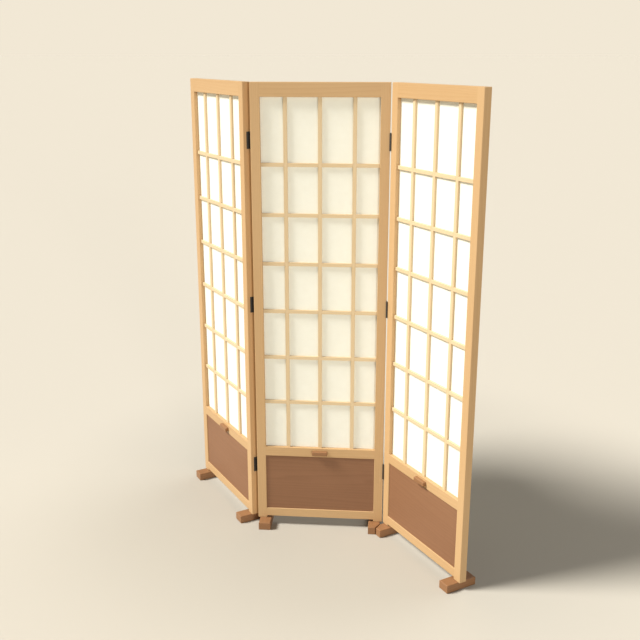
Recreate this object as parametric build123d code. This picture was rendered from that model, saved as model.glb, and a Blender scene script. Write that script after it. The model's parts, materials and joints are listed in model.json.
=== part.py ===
from build123d import *
import math
import os

# A free-standing folding screen: three equal paper panels hinged in a zigzag, in millimetres.
# +Z is up and the fronts face -Y. The origin is on the floor under the middle of the centre panel.
# Every panel is made in its own frame: x along its width, y from front to back, both zero at its middle.

# Panel outline
overall_height = 1800
panel_width = 517
panel_thickness = 30
stile_width = 36
edge_bevel = 1.2

# Rails and the space under them, from the floor up
foot_height = 32
stile_horn = 8
bottom_rail_height = 36
dado_height = 239
mid_rail_height = 39
top_rail_height = 53

# Lattice and paper
bar_width = 14
bar_depth = 8
bar_recess = 7
bar_bevel = 0.6
stub_length = 6
upright_spread = 0.25
lowest_crossbar_rise = 196
crossbar_pitch = 190
least_top_cell = 100
paper_thickness = 0.6
rebate_width = 6
paper_margin = 1

# Dado board and frame joints
board_thickness = 9
board_recess = 4
board_groove_depth = 7
board_play = 1
glue_line = 0.1
tenon_thickness = 10
tenon_length = 22
tenon_margin = 1

# Pull block on the middle rail
pull_width = 62
pull_height = 17
pull_projection = 15
pull_rounding = 2.5
pull_tenon_width = 40
pull_tenon_height = 10
pull_tenon_length = 6

# Feet
foot_width = 48
foot_length = 130
foot_inset = 8
foot_rounding = 3
foot_sole_bevel = 1
toe_clearance = 0.5
foot_screw_radius = 2
foot_screw_head_radius = 4
foot_screw_head_height = 3
foot_screw_length = 50
foot_screw_sink = 12

# Butt hinges
hinge_height = 64
hinge_gap = 2
hinge_offset = 2.6
leaf_thickness = 1.6
leaf_seat_depth = 0.8
leaf_reach = 20
knuckle_rows = 5
knuckle_play = 0.2
barrel_clearance = 0.4
pin_radius = 1.5
pin_clearance = 0.05
pin_head_radius = 2.6
pin_head_height = 1.2
hinge_screw_radius = 1.5
hinge_screw_head_radius = 3
hinge_screw_length = 17
hinge_screw_spacing = 22
pilot_clearance = 0.05
hinge_bottom_rise = 262
hinge_top_drop = 212
hinge_middle_lift = 25

# Fold of the outer panels, in degrees from flat
rest_fold = 56
fold_limit = 60

# Heights and depths worked out from the sizes above
bottom_rail_z = foot_height + stile_horn
dado_z0 = bottom_rail_z + bottom_rail_height
dado_z1 = dado_z0 + dado_height
window_z0 = dado_z1 + mid_rail_height
window_z1 = overall_height - top_rail_height
opening_width = panel_width - 2 * stile_width
half_opening = opening_width / 2
half_width = panel_width / 2
front = -panel_thickness / 2
back = panel_thickness / 2
bar_front = front + bar_recess
bar_back = bar_front + bar_depth
board_front = front + board_recess
board_back = board_front + board_thickness
tenon_shoulder = max(board_groove_depth, rebate_width) + tenon_margin
half_gap = hinge_gap / 2
pin_depth = back + hinge_offset
barrel_radius = pin_radius + pin_clearance + leaf_thickness
neck_end = barrel_radius + barrel_clearance
hinge_screw_depth = (leaf_reach + neck_end) / 2
leaf_back = half_gap + leaf_seat_depth
leaf_face = leaf_back - leaf_thickness
top_hinge_z = overall_height - hinge_top_drop
hinge_rises = {
    "bottom": hinge_bottom_rise,
    "middle": (hinge_bottom_rise + top_hinge_z) / 2 + hinge_middle_lift,
    "top": top_hinge_z,
}
foot_screw_y = (tenon_thickness / 2 + back) / 2
foot_screw_x = (foot_inset + stile_width) / 2
upright_xs = [side * upright_spread * panel_width for side in (-1, 0, 1)]
crossbar_zs = []
next_crossbar = window_z0 + lowest_crossbar_rise
while next_crossbar < window_z1 - least_top_cell:
    crossbar_zs.append(next_crossbar)
    next_crossbar += crossbar_pitch


def block(x0, x1, y0, y1, z0, z1):
    """A straight length of timber or plate between two limits on each axis."""
    centre = Pos((x0 + x1) / 2, (y0 + y1) / 2, (z0 + z1) / 2)
    return centre * Box(x1 - x0, y1 - y0, z1 - z0)


def mouth(z0, z1, side, margin=0.0):
    """The bevelled mouth of an opening at the front (-1) or back (+1), mitred at its corners."""
    reach = 2 * edge_bevel
    plane = Plane(
        origin=(0, side * (back + edge_bevel), (z0 + z1) / 2),
        x_dir=(1, 0, 0),
        z_dir=(0, -side, 0),
    )
    outline = Rectangle(opening_width + 2 * (margin + reach), z1 - z0 + 2 * (margin + reach))
    return extrude(plane * outline, amount=reach, taper=45)


def turned_pin(profile):
    """A turned piece about the X axis, from (distance along it, radius) points."""
    ends = [(profile[0][0], 0), *profile, (profile[-1][0], 0)]
    return revolve(make_face(Polyline(*ends, close=True)), Axis.X)


# Cutters that stiles and rails share

panel_outline = block(-half_width, half_width, front, back, foot_height, overall_height)
panel_outline = chamfer(panel_outline.edges(), edge_bevel)

paper_rebate = block(
    -half_opening - rebate_width,
    half_opening + rebate_width,
    bar_back,
    back,
    window_z0 - rebate_width,
    window_z1 + rebate_width,
)

board_groove = block(
    -half_opening - board_groove_depth,
    half_opening + board_groove_depth,
    board_front - glue_line,
    board_back + glue_line,
    dado_z0 - board_groove_depth,
    dado_z1 + board_groove_depth,
)

mouths = [
    mouth(dado_z0, dado_z1, -1),
    mouth(dado_z0, dado_z1, 1),
    mouth(window_z0, window_z1, -1),
    mouth(window_z0, window_z1, 1, rebate_width),
]


# Frame


def tenon(z0, z1, growth=0.0):
    """The pair of tenons of the rail between two heights, grown by the glue line for their mortises."""
    reach = half_opening + tenon_length + growth
    half_thickness = tenon_thickness / 2 + growth
    return block(
        -reach,
        reach,
        -half_thickness,
        half_thickness,
        z0 + tenon_shoulder - growth,
        z1 - tenon_shoulder + growth,
    )


def rail(z0, z1):
    """A rail between the stiles, with a blind tenon at each end and the shared grooves cut in it."""
    timber = block(-half_opening, half_opening, front, back, z0, z1)
    timber -= [board_groove, paper_rebate, *mouths]
    return timber + tenon(z0, z1)


def bar_seats():
    """Notches in the frame for the ends of every lattice bar."""
    seats = []
    for x in upright_xs:
        seats.append(bar_blank_upright(x, glue_line))
    for z in crossbar_zs:
        seats.append(bar_blank_crossbar(z, glue_line))
    return seats


def bar_blank_upright(x, growth=0.0):
    half = bar_width / 2 + growth
    ends = stub_length + growth
    return block(x - half, x + half, bar_front - growth, bar_back, window_z0 - ends, window_z1 + ends)


def bar_blank_crossbar(z, growth=0.0):
    half = bar_width / 2 + growth
    reach = half_opening + stub_length + growth
    return block(-reach, reach, bar_front - growth, bar_back, z - half, z + half)


seats = bar_seats()


def stile(side, hinge_side=0):
    """An upright of the frame at the left (-1) or right (+1) end. A hinged one has seats and screw
    holes for its leaves, set from the front (-1) or back (+1) face that the barrel stands on."""
    inner = side * half_opening
    outer = side * half_width
    timber = block(min(inner, outer), max(inner, outer), front, back, foot_height, overall_height)
    timber = timber & panel_outline
    mortises = [
        tenon(bottom_rail_z, dado_z0, glue_line),
        tenon(dado_z1, window_z0, glue_line),
        tenon(window_z1, overall_height, glue_line),
    ]
    timber -= [board_groove, paper_rebate, *mortises, *mouths, *seats[len(upright_xs) :]]
    timber -= foot_screw_bores(side, foot_screw_radius + pilot_clearance)
    if hinge_side:
        timber -= leaf_seats(side, hinge_side) + hinge_screw_bores(side, hinge_side)
    return timber


def bottom_rail():
    timber = rail(bottom_rail_z, dado_z0)
    low_edges = timber.edges().filter_by(Axis.X).group_by(Axis.Z)[0]
    return chamfer(low_edges, edge_bevel)


def mid_rail():
    timber = rail(dado_z1, window_z0)
    return timber - [*seats[: len(upright_xs)], pull_tenon(glue_line)]


def top_rail():
    timber = rail(window_z1, overall_height) & panel_outline
    return timber - seats[: len(upright_xs)]


# Lattice, halved where the bars cross so that their faces are flush


def upright(x):
    """A standing bar: its front arrises are bevelled, and its back half is cut away at each crossbar."""
    bar = bar_blank_upright(x)
    arrises = bar.edges().filter_by(Axis.Z).group_by(Axis.Y)[0]
    bar = chamfer(arrises, bar_bevel)
    half = bar_width / 2 + glue_line
    laps = [
        block(x - half, x + half, bar_front + bar_depth / 2, bar_back, z - half, z + half)
        for z in crossbar_zs
    ]
    return bar - laps


def crossbar(z):
    """A lying bar: its front half is cut away at each upright."""
    bar = bar_blank_crossbar(z)
    arrises = bar.edges().filter_by(Axis.X).group_by(Axis.Y)[0]
    bar = chamfer(arrises, bar_bevel)
    half = bar_width / 2 + glue_line
    laps = [
        block(x - half, x + half, bar_front, bar_front + bar_depth / 2, z - half, z + half)
        for x in upright_xs
    ]
    return bar - laps


def paper():
    """One sheet glued to the backs of the bars and to the shoulder of the frame's rebate."""
    reach = rebate_width - paper_margin
    return block(
        -half_opening - reach,
        half_opening + reach,
        bar_back,
        bar_back + paper_thickness,
        window_z0 - reach,
        window_z1 + reach,
    )


def dado_board():
    """The solid board under the middle rail, held loose in its grooves so that it can swell."""
    reach = board_groove_depth - board_play
    return block(
        -half_opening - reach,
        half_opening + reach,
        board_front,
        board_back,
        dado_z0 - reach,
        dado_z1 + reach,
    )


# Pull block


def pull_tenon(growth=0.0):
    """The stub on the back of the pull, or its mortise in the middle rail."""
    middle = (dado_z1 + window_z0) / 2
    half_tenon = pull_tenon_width / 2 + growth
    half_height = pull_tenon_height / 2 + growth
    depth = front + pull_tenon_length + growth
    return block(-half_tenon, half_tenon, front, depth, middle - half_height, middle + half_height)


def pull():
    middle = (dado_z1 + window_z0) / 2
    half_pull = pull_width / 2
    grip = block(
        -half_pull,
        half_pull,
        front - pull_projection,
        front,
        middle - pull_height / 2,
        middle + pull_height / 2,
    )
    outer_edges = grip.edges().group_by(Axis.Y)[0] + grip.edges().filter_by(Axis.Y)
    return fillet(outer_edges, pull_rounding) + pull_tenon()


# Feet and their screws


def foot_screw_places(side):
    x = side * (half_width - foot_screw_x)
    return [(x, -foot_screw_y), (x, foot_screw_y)]


def foot_screw_bores(side, radius):
    """Straight bores for the two screws that come up through a foot into its stile."""
    bore = Cylinder(radius, foot_screw_length, align=(Align.CENTER, Align.CENTER, Align.MIN))
    return [Pos(x, y, foot_screw_sink) * bore for x, y in foot_screw_places(side)]


def foot(side, toe=0):
    """A crosswise foot under the stile at the left (-1) or right (+1) end. Beside a hinge, the toe
    that swings towards the neighbour's foot, front (-1) or back (+1), is mitred to clear it."""
    centre_x = side * (half_width - foot_inset - foot_width / 2)
    plan = Pos(centre_x, 0) * Rectangle(foot_width, foot_length)
    if toe:
        mitre = (180 - fold_limit) / 2
        reach = foot_length + foot_width
        beyond = Pos(0, -toe_clearance) * Rectangle(reach, reach, align=(Align.MIN, Align.MIN))
        beyond = Pos(-half_width - half_gap, pin_depth) * Rot(0, 0, mitre) * beyond
        if side > 0:
            beyond = mirror(beyond, Plane.YZ)
        if toe < 0:
            beyond = mirror(beyond, Plane.XZ)
        plan -= beyond
    sole = extrude(plan, amount=foot_height)
    shaped = fillet(sole.edges().group_by(Axis.Z)[-1], foot_rounding)
    shaped = chamfer(shaped.edges().group_by(Axis.Z)[0], foot_sole_bevel)
    shaped -= foot_screw_bores(side, foot_screw_radius + glue_line)
    counterbore = Cylinder(
        foot_screw_head_radius + glue_line,
        foot_screw_sink,
        align=(Align.CENTER, Align.CENTER, Align.MIN),
    )
    return shaped - [Pos(x, y, 0) * counterbore for x, y in foot_screw_places(side)]


def foot_screw():
    """A round-head screw standing on end, its head's seat at the origin."""
    radius = foot_screw_radius
    return Rot(0, -90, 0) * turned_pin(
        [
            (-foot_screw_head_height, foot_screw_head_radius / 2),
            (-foot_screw_head_height / 2, foot_screw_head_radius),
            (0, foot_screw_head_radius),
            (0, radius),
            (foot_screw_length - radius, radius),
        ]
    )


def foot_screws():
    screw = foot_screw()
    return [Pos(x, y, foot_screw_sink) * screw for side in (-1, 1) for x, y in foot_screw_places(side)]


# Hinges. Each is made about its pin, for a panel on the +x side with its edge towards -y.


def hinge_screw_heights():
    return [-hinge_screw_spacing, 0, hinge_screw_spacing]


def hinge_screw():
    """A countersunk screw along +x, its head flush with the leaf's open face."""
    head_depth = hinge_screw_head_radius - hinge_screw_radius
    return turned_pin(
        [
            (leaf_face, hinge_screw_head_radius),
            (leaf_face + head_depth, hinge_screw_radius),
            (leaf_face + hinge_screw_length, hinge_screw_radius),
        ]
    )


def leaf(rows):
    """A hinge leaf: a plate let into the panel's end, necked to the knuckles that it has on the pin."""
    half_height = hinge_height / 2
    plate = block(leaf_face, leaf_back, -leaf_reach, -neck_end, -half_height, half_height)
    plate = chamfer(plate.edges().filter_by(Axis.X).group_by(Axis.Y)[0], edge_bevel)
    row_height = hinge_height / knuckle_rows
    for row in rows:
        z0 = row * row_height - half_height + knuckle_play * (row > 0)
        z1 = (row + 1) * row_height - half_height - knuckle_play * (row < knuckle_rows - 1)
        plate += block(leaf_face, leaf_back, -neck_end, 0, z0, z1)
        plate += Pos(0, 0, (z0 + z1) / 2) * Cylinder(barrel_radius, z1 - z0)
    plate -= Cylinder(pin_radius + pin_clearance, hinge_height)
    sink = hinge_screw_head_radius - hinge_screw_radius + pilot_clearance
    countersink = turned_pin(
        [
            (leaf_face - pilot_clearance, hinge_screw_head_radius + 2 * pilot_clearance),
            (leaf_face + sink, hinge_screw_radius + pilot_clearance),
            (leaf_back, hinge_screw_radius + pilot_clearance),
        ]
    )
    return plate - [Pos(0, -hinge_screw_depth, z) * countersink for z in hinge_screw_heights()]


def hinge_pin():
    """The pin, with a flat button at each end."""
    button = Cylinder(
        pin_head_radius, pin_head_height, align=(Align.CENTER, Align.CENTER, Align.MIN)
    )
    button = chamfer(button.edges().group_by(Axis.Z)[-1], pin_head_height / 3)
    top = Pos(0, 0, hinge_height / 2) * button
    return Cylinder(pin_radius, hinge_height) + top + mirror(top, Plane.XY)


def hinge_places(side, hinge_side):
    """Where the hinges' local frame goes on a panel's left (-1) or right (+1) end."""
    turn = 0 if hinge_side > 0 else 180
    x = side * (half_width + half_gap)
    return [Pos(x, hinge_side * pin_depth, z) * Rot(0, 0, turn) for z in hinge_rises.values()]


def faces_plus_x(side, hinge_side):
    """Whether the panel lies on the +x side of the pin in the hinge's local frame."""
    return side * hinge_side < 0


def on_hinge_side(shape, side, hinge_side):
    return shape if faces_plus_x(side, hinge_side) else mirror(shape, Plane.YZ)


def leaf_seats(side, hinge_side):
    """Shallow seats in a stile, open at its edge, that its three leaves lie in."""
    half_height = hinge_height / 2 + glue_line
    seat = block(0, leaf_back, -leaf_reach - glue_line, 0, -half_height, half_height)
    seat = on_hinge_side(seat, side, hinge_side)
    return [place * seat for place in hinge_places(side, hinge_side)]


def hinge_screw_bores(side, hinge_side):
    """Pilot holes in a stile for the screws of its three leaves."""
    radius = hinge_screw_radius + pilot_clearance
    bore = turned_pin([(0, radius), (half_gap + hinge_screw_length, radius)])
    bore = on_hinge_side(bore, side, hinge_side)
    return [
        place * Pos(0, -hinge_screw_depth, z) * bore
        for place in hinge_places(side, hinge_side)
        for z in hinge_screw_heights()
    ]


def hinge_screws(side, hinge_side):
    screw = on_hinge_side(hinge_screw(), side, hinge_side)
    return [
        place * Pos(0, -hinge_screw_depth, z) * screw
        for place in hinge_places(side, hinge_side)
        for z in hinge_screw_heights()
    ]


# One panel: the hinges on its ends are {end: face that the barrel stands on}


def panel_parts(name, ends):
    parts = {
        f"{name}_left_stile": stile(-1, ends.get(-1, 0)),
        f"{name}_right_stile": stile(1, ends.get(1, 0)),
        f"{name}_top_rail": top_rail(),
        f"{name}_mid_rail": mid_rail(),
        f"{name}_bottom_rail": bottom_rail(),
        f"{name}_uprights": [upright(x) for x in upright_xs],
        f"{name}_crossbars": [crossbar(z) for z in crossbar_zs],
        f"{name}_paper": paper(),
        f"{name}_dado_board": dado_board(),
        f"{name}_pull": pull(),
        f"{name}_left_foot": foot(-1, ends.get(-1, 0)),
        f"{name}_right_foot": foot(1, ends.get(1, 0)),
        f"{name}_foot_screws": foot_screws(),
        f"{name}_hinge_screws": [s for end, face in ends.items() for s in hinge_screws(end, face)],
    }
    return parts


def write(name, shapes, place):
    """One sub-part: its solid, or its like solids together, moved from the panel to the screen."""
    solids = shapes if isinstance(shapes, list) else [shapes]
    moved = [place * solid for solid in solids]
    export_step(moved[0] if len(moved) == 1 else Compound(moved), f"parts/{name}.step")


def folded(side, hinge_side):
    """The place of an outer panel, swung about its pin from flat to the rest fold."""
    pin = Pos(side * (half_width + half_gap), hinge_side * pin_depth, 0)
    return pin * Rot(0, 0, -rest_fold) * pin.inverse() * Pos(side * (panel_width + hinge_gap), 0, 0)


os.makedirs("parts", exist_ok=True)

places = {"centre": Pos(0, 0, 0), "left": folded(-1, 1), "right": folded(1, -1)}
hinged_ends = {"centre": {-1: 1, 1: -1}, "left": {1: 1}, "right": {-1: -1}}

for panel, ends in hinged_ends.items():
    for node, shapes in panel_parts(panel, ends).items():
        write(node, shapes, places[panel])

# The centre panel's leaves have the outer knuckles, and the outer panels' leaves have those between.
centre_rows = range(0, knuckle_rows, 2)
outer_rows = range(1, knuckle_rows, 2)

for panel, side, hinge_side in (("left", -1, 1), ("right", 1, -1)):
    centre_leaf = on_hinge_side(leaf(centre_rows), side, hinge_side)
    outer_leaf = on_hinge_side(leaf(outer_rows), -side, hinge_side)
    own_places = hinge_places(side, hinge_side)
    far_places = hinge_places(-side, hinge_side)
    for level, own, far in zip(hinge_rises, own_places, far_places):
        write(f"{panel}_hinge_{level}_inner_leaf", centre_leaf, own)
        write(f"{panel}_hinge_{level}_outer_leaf", outer_leaf, places[panel] * far)
        write(f"{panel}_hinge_{level}_pin", hinge_pin(), own)

pin_x = half_width + half_gap
print("pins at", -pin_x, pin_depth, "and", pin_x, -pin_depth)
print("crossbars", len(crossbar_zs), "opening", opening_width, window_z0, window_z1)
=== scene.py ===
import json
import math

import bpy
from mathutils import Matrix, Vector

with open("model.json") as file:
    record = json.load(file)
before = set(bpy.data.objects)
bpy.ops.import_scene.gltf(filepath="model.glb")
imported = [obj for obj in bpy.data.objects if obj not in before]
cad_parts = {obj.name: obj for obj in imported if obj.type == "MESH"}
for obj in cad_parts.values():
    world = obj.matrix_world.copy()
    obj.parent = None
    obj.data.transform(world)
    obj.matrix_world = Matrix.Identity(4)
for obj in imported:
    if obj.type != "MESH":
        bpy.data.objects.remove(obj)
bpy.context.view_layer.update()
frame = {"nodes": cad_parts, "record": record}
nodes = frame["nodes"]

# How far each panel stands turned, in degrees: a joint's upper limit opens its panel flat
PANEL_TURN = {"left": 0.0, "centre": 0.0, "right": 0.0}
for joint in frame["record"]["behaviour"]["joints"]:
    PANEL_TURN[joint["child"]] -= joint["range_deg"][1]

# Colours, linear
PINE_LIGHT = (0.528, 0.338, 0.163, 1.0)
PINE_DARK = (0.450, 0.268, 0.114, 1.0)
LATTICE_LIGHT = (0.645, 0.496, 0.298, 1.0)
LATTICE_DARK = (0.571, 0.407, 0.221, 1.0)
DADO_LIGHT = (0.251, 0.1215, 0.0577, 1.0)
DADO_DARK = (0.183, 0.080, 0.034, 1.0)
FOOT_LIGHT = (0.295, 0.149, 0.064, 1.0)
FOOT_DARK = (0.205, 0.089, 0.034, 1.0)
PAPER_LIGHT = (0.940, 0.925, 0.820, 1.0)
PAPER_DARK = (0.880, 0.850, 0.730, 1.0)
PAPER_STRAND = (0.98, 0.93, 0.82, 1.0)
BLACK_PAINT = (0.030, 0.026, 0.022)
ZINC = (0.600, 0.590, 0.560)
# The floor's darker colour is painted shade about the screen; the next colour is the floor's own, further
# out
FLOOR_PAINTED_SHADE = (0.418, 0.381, 0.314, 1.0)
FLOOR_FAR = (0.4905, 0.4463, 0.3677, 1.0)
BACKDROP = (0.887, 0.807, 0.665, 1.0)
WHITE = (1.0, 1.0, 1.0, 1.0)

# The kinds of wood: the way the grain runs, the colours, the growth rings' width in metres, the finish
WOODS = {
    "pine_upright": dict(along="z", light=PINE_LIGHT, dark=PINE_DARK, ring=0.006),
    "pine_level": dict(along="x", light=PINE_LIGHT, dark=PINE_DARK, ring=0.006),
    "bar_upright": dict(along="z", light=LATTICE_LIGHT, dark=LATTICE_DARK, ring=0.004),
    "bar_level": dict(along="x", light=LATTICE_LIGHT, dark=LATTICE_DARK, ring=0.004),
    "dado": dict(along="x", light=DADO_LIGHT, dark=DADO_DARK, ring=0.009, contrast=0.8, roughness=0.5),
    "stained": dict(along="y", light=FOOT_LIGHT, dark=FOOT_DARK, ring=0.005, roughness=0.4),
    "pull": dict(along="x", light=FOOT_LIGHT, dark=FOOT_DARK, ring=0.005, roughness=0.4),
}

# The wood of each piece of a panel
PIECE_WOOD = {
    "left_stile": "pine_upright",
    "right_stile": "pine_upright",
    "top_rail": "pine_level",
    "mid_rail": "pine_level",
    "bottom_rail": "pine_level",
    "uprights": "bar_upright",
    "crossbars": "bar_level",
    "dado_board": "dado",
    "pull": "pull",
    "left_foot": "stained",
    "right_foot": "stained",
}

# How far apart two boards' figures lie at most, in metres
BOARD_JUMP = 7.0

# The band that most of a noise lies in
NOISE_LOW = 0.3
NOISE_HIGH = 0.7

# Wood grain: waves in a metre, across the grain and along it
DRIFT_WAVES = (9.0, 0.55)
FINE_DRIFT_WAVES = (60.0, 3.0)
FIBRE_WAVES = (1400.0, 16.0)
PORE_WAVES = (2600.0, 75.0)
CLOUD_WAVES = (6.0, 1.3)

# Growth rings: how far they wander in metres, how they lean, and how late wood darkens and ends
DRIFT_REACH = 0.075
FINE_DRIFT_REACH = 0.0022
RING_LEAN = 0.55
LATE_WOOD_POWER = 2.2
RING_END = 0.93

# What each part of the figure adds to the dark colour, the pores' limits in their noise, and their shade
RING_SHARE = 0.42
FIBRE_SHARE = 0.34
CLOUD_LEAST = -0.1
CLOUD_MOST = 0.3
PORE_SHARE = 0.3
PORE_START = 0.66
PORE_FULL = 0.76
PORE_SHADE = 0.62

# Wood surface: what fibres and rings do to its roughness and its height
FIBRE_ROUGHNESS = 0.12
RING_ROUGHNESS = -0.05
FIBRE_HEIGHT = 0.6
RING_HEIGHT = 0.5
WOOD_BUMP = 0.25
WOOD_SPECULAR = 0.35

# Paper: waves in a metre of its pulp and of the patches where strands show
PULP_CLOUD_WAVES = 45.0
PULP_WAVES = 700.0
PATCH_WAVES = 28.0

# Paper strands: waves in a metre and the way each set lies, how they bend, and their width in their noise
STRAND_SETS = ((38.0, (1.0, 1.0, 0.35)), (46.0, (0.4, 1.0, 1.0)))
STRAND_BEND = 1.6
STRAND_MIDDLE = 0.5
STRAND_WIDTH = 0.0045
PATCH_START = 0.48
PATCH_FULL = 0.6

# Paper finish
PULP_CLOUD_FULL = 0.75
PULP_SHARE = 0.35
STRAND_SHARE = 0.3
PULP_HEIGHT = 0.5
PAPER_BUMP = 0.3
PAPER_ROUGHNESS = 0.9
PAPER_SPECULAR = 0.15
PAPER_THROUGH = 0.25

# Metal finish: waves in a metre of the paint and the wear, the wear's limits, and what rubbing does
PEEL_WAVES = 900.0
WEAR_WAVES = 120.0
WEAR_START = 0.45
WEAR_FULL = 0.75
WEAR_BRIGHTER = 1.9
WEAR_LIFT = 0.01
WEAR_SMOOTHER = 0.12
METAL_BUMP = 0.12

# Bump depth in metres
SOFT_BUMP_DEPTH = 0.0002
METAL_BUMP_DEPTH = 0.0001

# Floor, in metres: painted shade darkens it about the screen, and it lightens between two distances from a
# point behind it
FLOOR_REACH = 600.0
SHADE_MIDDLE = (0.15, 0.36, 0.0)
SHADE_INNER = 0.58
SHADE_OUTER = 1.67

# Light: the suns in W/m2 square on and their width in radians, the sky as a background strength
SKY_LIGHT = 0.20
SUNS = {
    "key": dict(place=(-6.75, -1.50, 7.23), power=5.87, width=0.312),
    "back": dict(place=(4.16, 3.45, 8.41), power=0.82, width=0.636),
    "front": dict(place=(4.05, -9.08, 1.04), power=1.28, width=0.2),
}

# Camera: its place in metres, how far it looks down and left in radians, and its lens and sensor in mm
CAMERA_PLACE = (0.2792, -3.3582, 1.9029)
CAMERA_DOWN = 0.2901
CAMERA_LEFT = 0.0831
FOCAL_LENGTH = 50.44
SENSOR_WIDTH = 36.0


class Graph:
    """A material and short ways to add nodes to it."""

    def __init__(self, name):
        self.material = bpy.data.materials.new(name)
        self.material.use_nodes = True
        self.tree = self.material.node_tree
        self.shader = self.tree.nodes["Principled BSDF"]
        self.output = self.tree.nodes["Material Output"]

    def add(self, kind, inputs=None, **settings):
        node = self.tree.nodes.new(kind)
        for key, value in settings.items():
            setattr(node, key, value)
        for key, value in (inputs or {}).items():
            self.set(node.inputs[key], value)
        return node

    def set(self, socket, value):
        if isinstance(value, bpy.types.NodeSocket):
            self.tree.links.new(value, socket)
        else:
            socket.default_value = value

    def surface(self, inputs):
        """Set the shader's own sockets, each to a link, a number or a colour."""
        for key, value in inputs.items():
            self.set(self.shader.inputs[key], value)

    def bump(self, height, strength, depth):
        node = self.add("ShaderNodeBump", {"Strength": strength, "Distance": depth, "Height": height})
        self.surface({"Normal": node.outputs[0]})

    def math(self, operation, a, b=0.0):
        node = self.add("ShaderNodeMath", {0: a, 1: b}, operation=operation)
        return node.outputs[0]

    def scaled(self, value, share):
        return self.math("MULTIPLY", value, share)

    def plus(self, base, extra, share):
        """The base and a share of something extra."""
        return self.math("ADD", base, self.scaled(extra, share))

    def noise(self, where, scale, detail=2.0, roughness=0.5, distortion=0.0):
        return self.add("ShaderNodeTexNoise", {
            "Vector": where,
            "Scale": scale,
            "Detail": detail,
            "Roughness": roughness,
            "Distortion": distortion,
        }).outputs["Fac"]

    def spread(self, value, low, high, to_low=0.0, to_high=1.0, shape="LINEAR"):
        return self.add("ShaderNodeMapRange", {
            "Value": value,
            "From Min": low,
            "From Max": high,
            "To Min": to_low,
            "To Max": to_high,
        }, interpolation_type=shape).outputs["Result"]

    def mix(self, share, a, b):
        """Blend two colours. The Mix node keeps its colour sockets at 6 and 7, and their result at 2."""
        node = self.add("ShaderNodeMix", data_type="RGBA")
        self.set(node.inputs[0], share)
        self.set(node.inputs[6], a)
        self.set(node.inputs[7], b)
        return node.outputs[2]

    def place(self):
        return self.add("ShaderNodeTexCoord").outputs["Object"]

    def vector_math(self, operation, a, b):
        return self.add("ShaderNodeVectorMath", {0: a, 1: b}, operation=operation)

    def stretched(self, where, scale):
        return self.vector_math("MULTIPLY", where, scale).outputs[0]

    def panel_coordinates(self, turn):
        """Along the panel, through it and up, in metres. Each piece is cut from its own board."""
        rotation = (0.0, 0.0, -math.radians(turn))
        turned = self.add("ShaderNodeMapping", {"Vector": self.place(), "Rotation": rotation}).outputs[0]
        number = self.add("ShaderNodeObjectInfo").outputs["Random"]
        return self.vector_math("ADD", turned, self.scaled(number, BOARD_JUMP)).outputs[0]


def new_object(name, data):
    thing = bpy.data.objects.new(name, data)
    bpy.context.scene.collection.objects.link(thing)
    return thing


def wood(name, turn, along, light, dark, ring, contrast=1.0, roughness=0.42):
    """Straight-grained softwood: growth rings, fine fibres and short pores, all run along the piece."""
    graph = Graph(name)
    where = graph.panel_coordinates(turn)
    axis = "xyz".index(along)

    def grain(waves, **settings):
        """Noise drawn out along the piece."""
        across, lengthwise = waves
        stretch = [lengthwise if i == axis else across for i in range(3)]
        return graph.noise(graph.stretched(where, stretch), scale=1.0, **settings)

    drift = grain(DRIFT_WAVES)
    fine_drift = grain(FINE_DRIFT_WAVES)
    fibres = grain(FIBRE_WAVES, detail=3.0, roughness=0.6)
    pores = graph.spread(grain(PORE_WAVES, detail=1.0), PORE_START, PORE_FULL)
    cloud = grain(CLOUD_WAVES, detail=3.0)

    parts = graph.add("ShaderNodeSeparateXYZ", {0: where}).outputs
    across = [part for i, part in enumerate(parts) if i != axis]
    depth = graph.plus(across[0], across[1], RING_LEAN)
    depth = graph.plus(depth, drift, DRIFT_REACH)
    depth = graph.plus(depth, fine_drift, FINE_DRIFT_REACH)
    phase = graph.math("FRACT", graph.math("DIVIDE", depth, ring))
    late = graph.math("POWER", phase, LATE_WOOD_POWER)
    fall = graph.spread(phase, RING_END, 1.0, to_low=1.0, to_high=0.0)
    rings = graph.math("MULTIPLY", late, fall)

    fibre_figure = graph.spread(fibres, NOISE_LOW, NOISE_HIGH, 0.0, FIBRE_SHARE * contrast)
    cloud_figure = graph.spread(cloud, NOISE_LOW, NOISE_HIGH, CLOUD_LEAST, CLOUD_MOST)
    figure = graph.math("ADD", graph.scaled(rings, RING_SHARE * contrast), fibre_figure)
    figure = graph.math("ADD", figure, cloud_figure)
    deep = tuple(channel * PORE_SHADE for channel in dark[:3]) + (1.0,)
    pore_share = graph.scaled(pores, PORE_SHARE * contrast)
    rough = graph.spread(fibres, NOISE_LOW, NOISE_HIGH, roughness, roughness + FIBRE_ROUGHNESS)
    graph.surface({
        "Base Color": graph.mix(pore_share, graph.mix(figure, light, dark), deep),
        "Roughness": graph.plus(rough, rings, RING_ROUGHNESS),
        "Specular IOR Level": WOOD_SPECULAR,
    })
    height = graph.math("SUBTRACT", graph.scaled(fibres, FIBRE_HEIGHT), pores)
    graph.bump(graph.plus(height, rings, RING_HEIGHT), WOOD_BUMP, SOFT_BUMP_DEPTH)
    return graph.material


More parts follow.
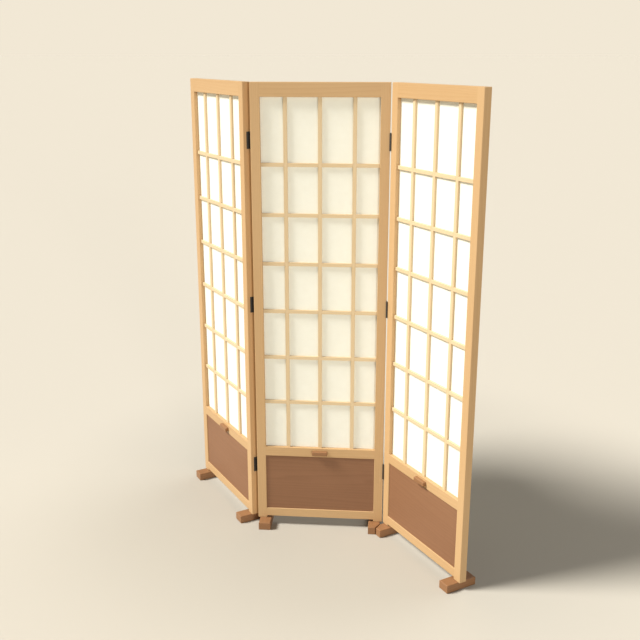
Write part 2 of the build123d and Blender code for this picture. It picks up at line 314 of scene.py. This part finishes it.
def washi(name, turn):
    """Hand-made paper: cloudy pulp with long fibres lying in it, and light comes through it."""
    graph = Graph(name)
    where = graph.panel_coordinates(turn)
    cloud = graph.noise(where, PULP_CLOUD_WAVES, detail=4.0, roughness=0.6)
    pulp = graph.noise(where, PULP_WAVES, detail=3.0, roughness=0.6)
    patches = graph.noise(where, PATCH_WAVES, detail=1.0)
    strands = []
    for waves, lean in STRAND_SETS:
        bent = graph.noise(graph.stretched(where, lean), waves, detail=1.5, distortion=STRAND_BEND)
        off = graph.math("ABSOLUTE", graph.math("SUBTRACT", bent, STRAND_MIDDLE))
        strands.append(graph.spread(off, 0.0, STRAND_WIDTH, to_low=1.0, to_high=0.0))
    strand = graph.math("MAXIMUM", *strands)
    strand = graph.math("MULTIPLY", strand, graph.spread(patches, PATCH_START, PATCH_FULL))

    shade = graph.scaled(graph.spread(cloud, NOISE_LOW, PULP_CLOUD_FULL), PULP_SHARE)
    colour = graph.mix(shade, PAPER_LIGHT, PAPER_DARK)
    colour = graph.mix(graph.scaled(strand, STRAND_SHARE), colour, PAPER_STRAND)
    graph.surface({
        "Base Color": colour,
        "Roughness": PAPER_ROUGHNESS,
        "Specular IOR Level": PAPER_SPECULAR,
    })
    graph.bump(graph.plus(strand, pulp, PULP_HEIGHT), PAPER_BUMP, SOFT_BUMP_DEPTH)
    through = graph.add("ShaderNodeBsdfTranslucent", {"Color": colour}).outputs[0]
    layers = {0: PAPER_THROUGH, 1: graph.shader.outputs[0], 2: through}
    both = graph.add("ShaderNodeMixShader", layers)
    graph.set(graph.output.inputs["Surface"], both.outputs[0])
    return graph.material


def metal(name, colour, roughness, metallic, speck):
    """Painted or plated steel, slightly orange-peeled, rubbed brighter in patches."""
    graph = Graph(name)
    where = graph.place()
    peel = graph.noise(where, PEEL_WAVES)
    wear = graph.noise(where, WEAR_WAVES, detail=4.0, roughness=0.65)
    worn = graph.spread(wear, WEAR_START, WEAR_FULL)
    bright = tuple(min(1.0, channel * WEAR_BRIGHTER + WEAR_LIFT) for channel in colour)
    graph.surface({
        "Base Color": graph.mix(graph.scaled(worn, speck), colour + (1.0,), bright + (1.0,)),
        "Roughness": graph.spread(worn, 0.0, 1.0, roughness, roughness - WEAR_SMOOTHER),
        "Metallic": metallic,
    })
    graph.bump(peel, METAL_BUMP, METAL_BUMP_DEPTH)
    return graph.material


def dress(name, material):
    """Give a node its one material."""
    mesh = nodes[name].data
    mesh.materials.clear()
    mesh.materials.append(material)


def lay_floor():
    """A matt floor, with painted shade about the screen."""
    mesh = bpy.data.meshes.new("floor")
    ends = (-FLOOR_REACH, FLOOR_REACH)
    mesh.from_pydata([(x, y, 0.0) for x in ends for y in ends], [], [(0, 2, 3, 1)])
    graph = Graph("studio_floor")
    apart = graph.vector_math("DISTANCE", graph.place(), SHADE_MIDDLE).outputs["Value"]
    # Painted shade: the floor's colour fades from the darker colour near the screen to its own colour
    # further out
    out_of_painted_shade = graph.spread(apart, SHADE_INNER, SHADE_OUTER, shape="SMOOTHSTEP")
    graph.surface({
        "Base Color": graph.mix(out_of_painted_shade, FLOOR_PAINTED_SHADE, FLOOR_FAR),
        "Roughness": 1.0,
        "Specular IOR Level": 0.0,
    })
    mesh.materials.append(graph.material)
    new_object("floor", mesh)


def light_sky():
    """A white sky that lights the scene, with a warm backdrop where the camera sees it."""
    world = bpy.data.worlds.new("studio")
    world.use_nodes = True
    tree = world.node_tree
    backdrop = tree.nodes["Background"]
    backdrop.inputs["Color"].default_value = BACKDROP
    glow = tree.nodes.new("ShaderNodeBackground")
    glow.inputs["Color"].default_value = WHITE
    glow.inputs["Strength"].default_value = SKY_LIGHT
    ray = tree.nodes.new("ShaderNodeLightPath")
    choice = tree.nodes.new("ShaderNodeMixShader")
    tree.links.new(ray.outputs["Is Camera Ray"], choice.inputs[0])
    tree.links.new(glow.outputs[0], choice.inputs[1])
    tree.links.new(backdrop.outputs[0], choice.inputs[2])
    tree.links.new(choice.outputs[0], tree.nodes["World Output"].inputs["Surface"])
    bpy.context.scene.world = world


def hang_sun(name, place, power, width):
    """A wide, distant light that shines from its place towards the origin."""
    data = bpy.data.lights.new(name, "SUN")
    data.energy = power
    data.angle = width
    light = new_object(name, data)
    light.location = place
    light.rotation_mode = "QUATERNION"
    light.rotation_quaternion = (-Vector(place)).to_track_quat("-Z", "Y")


def place_camera():
    lens = bpy.data.cameras.new("camera")
    lens.lens = FOCAL_LENGTH
    lens.sensor_width = SENSOR_WIDTH
    camera = new_object("camera", lens)
    camera.location = CAMERA_PLACE
    camera.rotation_euler = (math.pi / 2 - CAMERA_DOWN, 0.0, CAMERA_LEFT)
    bpy.context.scene.camera = camera


# Every node gets its material
black_steel = metal("black_steel", BLACK_PAINT, roughness=0.46, metallic=0.0, speck=0.5)
zinc_steel = metal("zinc_steel", ZINC, roughness=0.34, metallic=1.0, speck=0.4)
for panel, turn in PANEL_TURN.items():
    woods = {kind: wood(f"{panel}_{kind}", turn, **facts) for kind, facts in WOODS.items()}
    for piece, kind in PIECE_WOOD.items():
        dress(f"{panel}_{piece}", woods[kind])
    dress(f"{panel}_paper", washi(f"{panel}_washi", turn))
    dress(f"{panel}_foot_screws", zinc_steel)
for name in nodes:
    if "_hinge_" in name:
        dress(name, black_steel)

# Surroundings
lay_floor()
light_sky()
for name, facts in SUNS.items():
    hang_sun(name, **facts)
place_camera()
bpy.context.scene.view_settings.view_transform = "Standard"
